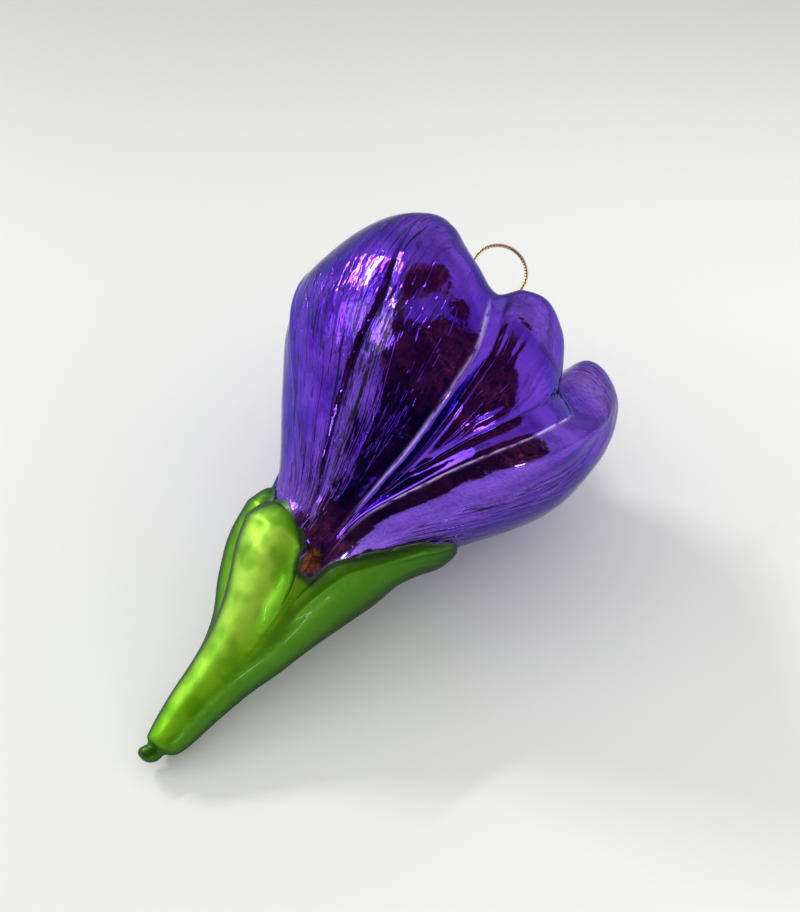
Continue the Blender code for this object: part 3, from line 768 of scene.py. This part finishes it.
# ---- Hanger cap ----
# A thin brass cap, stamped from sheet and pressed over the glass neck inside the bloom.
# Its skirt is crimped into fine pleats, and its top has two holes for the wire.
CAP_PLEATS = 24
CAP_COLUMNS = 6 * CAP_PLEATS
PLEATED_BELOW = 4.6
PLEAT_SWING = 0.045
CAP_SHEET = 0.3
CAP_TOP_RADIUS = 4.8
CAP_RINGS = [  # radius, depth below the top
    (5.1, 0.08), (5.32, 0.3), (5.4, 0.6), (5.4, 2.2), (5.52, 2.35), (5.52, 2.65), (5.4, 2.8),
    (5.4, 3.9), (5.46, 4.3), (5.56, 4.8), (5.75, 5.4), (6.05, 6.0), (6.35, 6.5),
]
HOLE_RADIUS = 0.75
HOLE_SPREAD = 2.2
CRISP_ANGLE = math.radians(50.0)

bpy.ops.object.select_all(action="DESELECT")
bpy.ops.mesh.primitive_circle_add(
    vertices=CAP_COLUMNS, radius=CAP_TOP_RADIUS * MM, fill_type="NGON", location=(0.0, 0.0, 0.0))
cap = bpy.context.object
cap.name = cap.data.name = "stamped_brass_cap"
bpy.ops.object.mode_set(mode="EDIT")
bpy.ops.mesh.select_mode(type="EDGE")
bpy.ops.mesh.select_all(action="SELECT")
ring_radius, ring_depth = CAP_TOP_RADIUS, 0.0
for next_radius, next_depth in CAP_RINGS:
    bpy.ops.mesh.extrude_edges_move(
        TRANSFORM_OT_translate={"value": (0.0, 0.0, (ring_depth - next_depth) * MM)})
    grow = next_radius / ring_radius
    bpy.ops.transform.resize(value=(grow, grow, 1.0), center_override=(0.0, 0.0, 0.0))
    ring_radius, ring_depth = next_radius, next_depth
for pleat_column, swing in ((0, 1.0 + PLEAT_SWING), (3, 1.0 - PLEAT_SWING)):
    bpy.ops.mesh.select_mode(type="VERT")
    bpy.ops.mesh.select_all(action="DESELECT")
    bpy.ops.object.mode_set(mode="OBJECT")
    for vertex in cap.data.vertices:
        around = math.atan2(vertex.co.y, vertex.co.x) / (2.0 * math.pi)
        at_column = round(around * CAP_COLUMNS) % 6
        vertex.select = at_column == pleat_column and -vertex.co.z > PLEATED_BELOW * MM
    bpy.ops.object.mode_set(mode="EDIT")
    bpy.ops.transform.resize(value=(swing, swing, 1.0), center_override=(0.0, 0.0, 0.0))
bpy.ops.mesh.select_all(action="SELECT")
bpy.ops.mesh.normals_make_consistent(inside=False)
bpy.ops.object.mode_set(mode="OBJECT")
if cap.data.polygons[0].normal.z < 0.0:
    cap.data.flip_normals()
sheet = cap.modifiers.new("sheet", "SOLIDIFY")
sheet.thickness = CAP_SHEET * MM
sheet.offset = -1.0
bpy.ops.object.modifier_apply(modifier=sheet.name)
for side in (-1.0, 1.0):
    bpy.ops.object.select_all(action="DESELECT")
    bpy.ops.mesh.primitive_cylinder_add(
        vertices=32, radius=HOLE_RADIUS * MM, depth=1.5 * MM,
        location=(side * HOLE_SPREAD * MM, 0.0, 0.0))
    punch = bpy.context.object
    bpy.context.view_layer.objects.active = cap
    hole = cap.modifiers.new("punched_hole", "BOOLEAN")
    hole.object = punch
    bpy.ops.object.modifier_apply(modifier=hole.name)
    bpy.data.objects.remove(punch, do_unlink=True)
edges = cap.modifiers.new("soft_edges", "BEVEL")
edges.width = 0.05 * MM
edges.segments = 2
edges.limit_method = "ANGLE"
edges.angle_limit = CRISP_ANGLE
bpy.ops.object.modifier_apply(modifier=edges.name)

# Onto the neck: the cap's top faces along the flower, and its holes lie along the lean.
neck_side = Vector(lean)
along_flower = Vector((1.0, 0.0, 0.0))
cap_turn = Matrix((neck_side, along_flower.cross(neck_side), along_flower)).transposed()
cap.matrix_world = flower_place @ Matrix.Translation(
    (neck_side * NECK_SHIFT + along_flower * CAP_TOP) * MM) @ cap_turn.to_4x4()
bpy.ops.object.select_all(action="DESELECT")
cap.select_set(True)
bpy.ops.object.transform_apply(location=True, rotation=True, scale=True)
bpy.ops.object.shade_smooth_by_angle(angle=CRISP_ANGLE)

# Rubbed metal: bright where it is touched, duller in clouds, finely scuffed.
rubbed_metal, into, out_of = new_group(
    "rubbed_metal", {"Vector": "Vector", "Bright": "Color", "Dull": "Color"},
    {"Color": "Color", "Roughness": "Float", "Height": "Float"})
cloudy = noise_at(rubbed_metal, into.outputs["Vector"], Scale=700.0, Detail=4.0)
scuffs = noise_at(rubbed_metal, into.outputs["Vector"], Scale=5200.0, Detail=2.0, Distortion=1.5)
tarnish = soft_mask(rubbed_metal, cloudy, 0.45, 0.72)
rubbed_roughness = math_node(rubbed_metal, "MULTIPLY_ADD", scuffs, 0.12, 0.14)
rubbed_roughness = math_node(rubbed_metal, "MULTIPLY_ADD", tarnish, 0.22, rubbed_roughness)
rubbed_metal.links.new(
    mixed(rubbed_metal, tarnish, into.outputs["Bright"], into.outputs["Dull"]),
    out_of.inputs["Color"])
rubbed_metal.links.new(rubbed_roughness, out_of.inputs["Roughness"])
rubbed_metal.links.new(scuffs, out_of.inputs["Height"])


def metal_finish(name, bright, dull, relief):
    """A rubbed metal of two colours, with scuffs of this depth in millimetres."""
    metal, tree, shader = new_material(name)
    shader.inputs["Metallic"].default_value = 1.0
    on_metal = new_node(tree, "ShaderNodeTexCoord")
    rub = new_node(tree, "ShaderNodeGroup", node_tree=rubbed_metal)
    rub.inputs["Bright"].default_value = (*bright, 1.0)
    rub.inputs["Dull"].default_value = (*dull, 1.0)
    bump = new_node(tree, "ShaderNodeBump", Distance=relief * MM)
    for source, target in (
            (on_metal.outputs["Object"], rub.inputs["Vector"]),
            (rub.outputs["Height"], bump.inputs["Height"]),
            (rub.outputs["Color"], shader.inputs["Base Color"]),
            (rub.outputs["Roughness"], shader.inputs["Roughness"]),
            (bump.outputs["Normal"], shader.inputs["Normal"])):
        tree.links.new(source, target)
    return metal


cap.data.materials.append(
    metal_finish("stamped_cap_brass", (0.90, 0.68, 0.32), (0.62, 0.42, 0.17), 0.02))
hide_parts("hanger_cap")
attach(cap, "root")

# ---- Hanger wire ----
# A springy gold wire, rolled with a fine knurl: a round loop over the cap, and two legs
# that spread inside the neck and hold the cap down.
WIRE_RADIUS = 0.40
WIRE_WAIST = 0.34
KNURL_PITCH = 0.62
KNURL_CUTS = (0.18, 0.36, 0.64, 0.82)
LOOP_RADIUS = 5.33
LOOP_KNOTS = 48
# One leg from its end up to the cap's hole: distance from the middle, height.
LEGS = [(2.8, 92.0), (2.8, 94.0), (2.7, 96.0), (2.3, 98.5), (2.2, 100.6), (2.2, 101.6)]


def wire_point(aside, up):
    """A point of the loop's own plane, which leans a little above the cap."""
    above = up - CAP_TOP
    turn = loop_lean * float(smooth_step(0.3, 1.6, above))
    across = above * math.sin(turn) + aside * math.cos(turn)
    along = CAP_TOP + above * math.cos(turn) - aside * math.sin(turn)
    return neck_side * (NECK_SHIFT + across) + along_flower * along


first_turn = math.asin(HOLE_SPREAD / LOOP_RADIUS)
route = [(-aside, up) for aside, up in LEGS]
for turn in np.linspace(first_turn, 2.0 * math.pi - first_turn, LOOP_KNOTS):
    route.append(
        (-LOOP_RADIUS * math.sin(turn), CAP_TOP + loop_reach - LOOP_RADIUS * math.cos(turn)))
route += LEGS[::-1]
path_curve = bpy.data.curves.new("wire_path", "CURVE")
path_curve.dimensions = "3D"
spline = path_curve.splines.new("POLY")
spline.points.add(len(route) - 1)
for knot, (aside, up) in zip(spline.points, route):
    knot.co = (*(flower_place @ (wire_point(aside, up) * MM)), 1.0)
wire_path = bpy.data.objects.new("wire_path", path_curve)
bpy.context.scene.collection.objects.link(wire_path)

bpy.ops.object.select_all(action="DESELECT")
bpy.ops.mesh.primitive_cylinder_add(
    vertices=14, radius=WIRE_WAIST * MM, depth=KNURL_PITCH * MM, end_fill_type="NOTHING",
    location=(0.0, 0.0, 0.5 * KNURL_PITCH * MM))
wire = bpy.context.object
wire.name = wire.data.name = "knurled_gold_wire"
bpy.ops.object.transform_apply(location=True, rotation=True, scale=True)
bpy.ops.object.mode_set(mode="EDIT")
for cut_at in KNURL_CUTS:
    bpy.ops.mesh.select_all(action="SELECT")
    bpy.ops.mesh.bisect(
        plane_co=(0.0, 0.0, cut_at * KNURL_PITCH * MM), plane_no=(0.0, 0.0, 1.0))
bpy.ops.mesh.select_all(action="DESELECT")
bpy.ops.object.mode_set(mode="OBJECT")
for vertex in wire.data.vertices:
    vertex.select = 0.3 < vertex.co.z / (KNURL_PITCH * MM) < 0.7
bpy.ops.object.mode_set(mode="EDIT")
swell_out = WIRE_RADIUS / WIRE_WAIST
bpy.ops.transform.resize(value=(swell_out, swell_out, 1.0), center_override=(0.0, 0.0, 0.0))
bpy.ops.object.mode_set(mode="OBJECT")
repeat = wire.modifiers.new("knurls", "ARRAY")
repeat.fit_type = "FIT_CURVE"
repeat.curve = wire_path
repeat.use_relative_offset = True
repeat.relative_offset_displace = (0.0, 0.0, 1.0)
repeat.use_merge_vertices = True
repeat.merge_threshold = 0.01 * MM
bent = wire.modifiers.new("bent", "CURVE")
bent.object = wire_path
bent.deform_axis = "POS_Z"
bpy.ops.object.modifier_apply(modifier=repeat.name)
bpy.ops.object.modifier_apply(modifier=bent.name)
bpy.data.objects.remove(wire_path, do_unlink=True)
bpy.ops.object.mode_set(mode="EDIT")
bpy.ops.mesh.select_all(action="DESELECT")
bpy.ops.mesh.select_mode(type="EDGE")
bpy.ops.mesh.select_non_manifold()
bpy.ops.mesh.edge_face_add()
bpy.ops.mesh.select_all(action="SELECT")
bpy.ops.mesh.normals_make_consistent(inside=False)
bpy.ops.object.mode_set(mode="OBJECT")
bpy.ops.object.shade_smooth_by_angle(angle=math.radians(60.0))
wire.data.materials.append(
    metal_finish("knurled_wire_gold", (1.0, 0.84, 0.50), (0.78, 0.58, 0.26), 0.01))
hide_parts("hanger_wire")
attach(wire, "root")

# ---- Table, light and camera ----
# A white table, painted darker far off and on the left and lighter on the right as painted
# shade and light, in a bright room with one window and two small lamps. The side from
# which the flower is looked at is dark, and it shows in the mirror of the lacquer.
# Painted shade and light on the table: darker on the left, lighter on the right, darkest far off.
TABLE_LEFT_SHADED, TABLE_RIGHT_LIT = (0.715, 0.72, 0.695), (0.80, 0.805, 0.785)
TABLE_FAR_SHADED = (0.455, 0.46, 0.445)

bpy.ops.object.select_all(action="DESELECT")
bpy.ops.mesh.primitive_plane_add(size=3.0, location=(0.0, 0.0, 0.0))
table = bpy.context.object
table.name = "pale_table"
white, tree, shader = new_material("pale_table_top")
on_table = new_node(tree, "ShaderNodeTexCoord").outputs["Object"]


def distance_along(tree, vector, axis):
    """How far a point or a direction reaches along an axis."""
    node = new_node(tree, "ShaderNodeVectorMath", operation="DOT_PRODUCT")
    node.inputs[1].default_value = axis
    tree.links.new(vector, node.inputs[0])
    return node.outputs["Value"]


# The table's colour is painted darker far off and on the left, and lighter on the right.
far_off = distance_along(tree, on_table, (0.80, 0.60, 0.0))
to_side = distance_along(tree, on_table, (0.60, -0.80, 0.0))
painted_near_light = mixed(tree, soft_mask(tree, to_side, -0.08, 0.08), TABLE_LEFT_SHADED, TABLE_RIGHT_LIT)
tree.links.new(
    mixed(tree, soft_mask(tree, far_off, 0.06, 0.22), painted_near_light, TABLE_FAR_SHADED),
    shader.inputs["Base Color"])
shader.inputs["Roughness"].default_value = 0.55
table.data.materials.append(white)

CAMERA_TURN, CAMERA_RISE, CAMERA_DISTANCE = -53.0, 52.5, 0.3308
aim = Vector((0.01181, -0.00178, 0.025))
turn, rise = math.radians(CAMERA_TURN), math.radians(CAMERA_RISE)
to_camera = Vector(
    (math.sin(turn) * math.cos(rise), -math.cos(turn) * math.cos(rise), math.sin(rise)))

AMBIENT = (0.90, 0.905, 0.90)
WALLS = (0.46, 0.46, 0.48), (0.72, 0.72, 0.74)
DARKEST, DARK_CORNERS = (0.012, 0.010, 0.016), (0.03, 0.018, 0.02)
DARK_FURNITURE, DARK_GLEAMS = (0.18, 0.075, 0.045), (0.48, 0.20, 0.12)
DARK_REACH, DARK_SOLID = 60.0, 54.0  # degrees round its middle

world = bpy.data.worlds.new("bright_room")
bpy.context.scene.world = world
world.use_nodes = True
room = world.node_tree
sky = room.nodes["Background"]
sky.inputs["Strength"].default_value = 1.0
towards = new_node(room, "ShaderNodeTexCoord").outputs["Generated"]
dark_middle = (to_camera + Vector((0.07, 0.03, 0.03))).normalized()
frayed = math_node(
    room, "MULTIPLY_ADD", noise_at(room, towards, Scale=2.5, Detail=3.0), 0.25,
    math_node(room, "ADD", distance_along(room, towards, dark_middle), -0.125))
dark_share = soft_mask(
    room, frayed, math.cos(math.radians(DARK_REACH)), math.cos(math.radians(DARK_SOLID)))
patches = noise_at(room, towards, Scale=7.0, Detail=4.0, Roughness=0.6)
dark_room = mixed(room, soft_mask(room, patches, 0.38, 0.56), DARK_CORNERS, DARK_FURNITURE)
dark_room = mixed(room, soft_mask(room, patches, 0.58, 0.66), dark_room, DARK_GLEAMS)
low_side = distance_along(room, towards, (1.0, 0.0, 0.0))
dark_room = mixed(room, soft_mask(room, low_side, -0.72, -0.97), dark_room, DARKEST)
dim = noise_at(room, towards, Scale=1.6, Detail=2.0)
walls = mixed(room, soft_mask(room, dim, 0.35, 0.65), *WALLS)
walls = mixed(room, dark_share, walls, dark_room)
seen_in_gloss = new_node(room, "ShaderNodeLightPath").outputs["Is Glossy Ray"]
room.links.new(mixed(room, seen_in_gloss, AMBIENT, walls), sky.inputs["Color"])


def add_lamp(name, towards, distance, size, power):
    """A soft rectangular lamp in one direction from the middle of the table, facing it."""
    data = bpy.data.lights.new(name, "AREA")
    data.shape = "RECTANGLE"
    data.size, data.size_y = size
    data.energy = power
    lamp = bpy.data.objects.new(name, data)
    bpy.context.scene.collection.objects.link(lamp)
    lamp.location = Vector(towards).normalized() * distance
    lamp.rotation_euler = (-lamp.location).to_track_quat("-Z", "Y").to_euler()


add_lamp("window", (-0.38, 0.68, 0.62), 1.6, (0.85, 0.60), 3.7)
add_lamp("small_lamp", (0.14, 0.83, 0.54), 1.8, (0.50, 0.03), 13.0)
add_lamp("low_lamp", (-0.518, -0.843, 0.16), 1.5, (0.34, 0.05), 2.4)

camera_data = bpy.data.cameras.new("camera")
camera_data.lens = 70.6
camera_data.sensor_width = 36.0
camera_data.clip_start = 0.01
camera = bpy.data.objects.new("camera", camera_data)
bpy.context.scene.collection.objects.link(camera)
camera.location = aim + to_camera * CAMERA_DISTANCE
camera.rotation_euler = (-to_camera).to_track_quat("-Z", "Y").to_euler()
bpy.context.scene.camera = camera
bpy.context.scene.view_settings.view_transform = "Standard"

bpy.context.view_layer.update()
